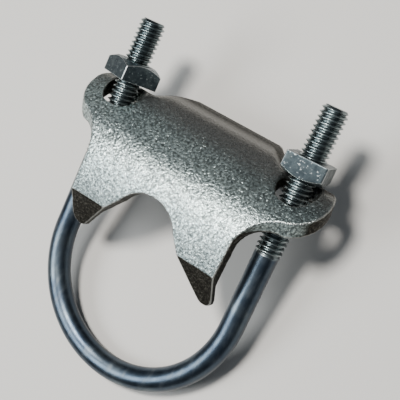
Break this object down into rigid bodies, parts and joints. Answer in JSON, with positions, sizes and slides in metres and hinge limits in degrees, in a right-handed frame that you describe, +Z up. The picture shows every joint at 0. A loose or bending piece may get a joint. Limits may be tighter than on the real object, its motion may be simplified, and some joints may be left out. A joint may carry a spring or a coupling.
{
  "type": "u-bolt conduit clamp",
  "caption": "Right-angle U-bolt clamp: a bent threaded rod, a cast clamp jaw that slides on its legs, and square nuts that hold a conduit against a beam flange.",
  "frame": {"origin": "on the floor, under the middle of the object's box; the clamp lies on the bow of the U-bolt and the heel of the jaw", "axes": "+X across the two legs, +Y from the bow towards the leg tips, +Z up; the legs rise at 14.81 degrees towards +Y"},
  "size_m": [0.0852, 0.1002, 0.0334],
  "materials": {
    "zinc_steel": "glossy blue-bright zinc plating on drawn steel rod",
    "cast_iron": "satin zinc plating over pebbly sand-cast malleable iron",
    "nut_steel": "dull grey-blue zinc plating on pressed steel"
  },
  "bodies": {
    "u_bolt": {"u_bolt": "zinc_steel"},
    "clamp_jaw": {"clamp_jaw": "cast_iron"},
    "nut_left": {"nut_left": "nut_steel"},
    "nut_right": {"nut_right": "nut_steel"}
  },
  "joints": [
    {"name": "jaw_slide", "type": "slide", "parent": "u_bolt", "child": "clamp_jaw", "axis": [0, 0.9668, 0.2557], "range_m": [-0.032, 0]},
    {"name": "nut_left_travel", "type": "slide", "parent": "u_bolt", "child": "nut_left", "axis": [0, 0.9668, 0.2557], "range_m": [0, 0.013]},
    {"name": "nut_right_travel", "type": "slide", "parent": "u_bolt", "child": "nut_right", "axis": [0, 0.9668, 0.2557], "range_m": [0, 0.0148]}
  ]
}
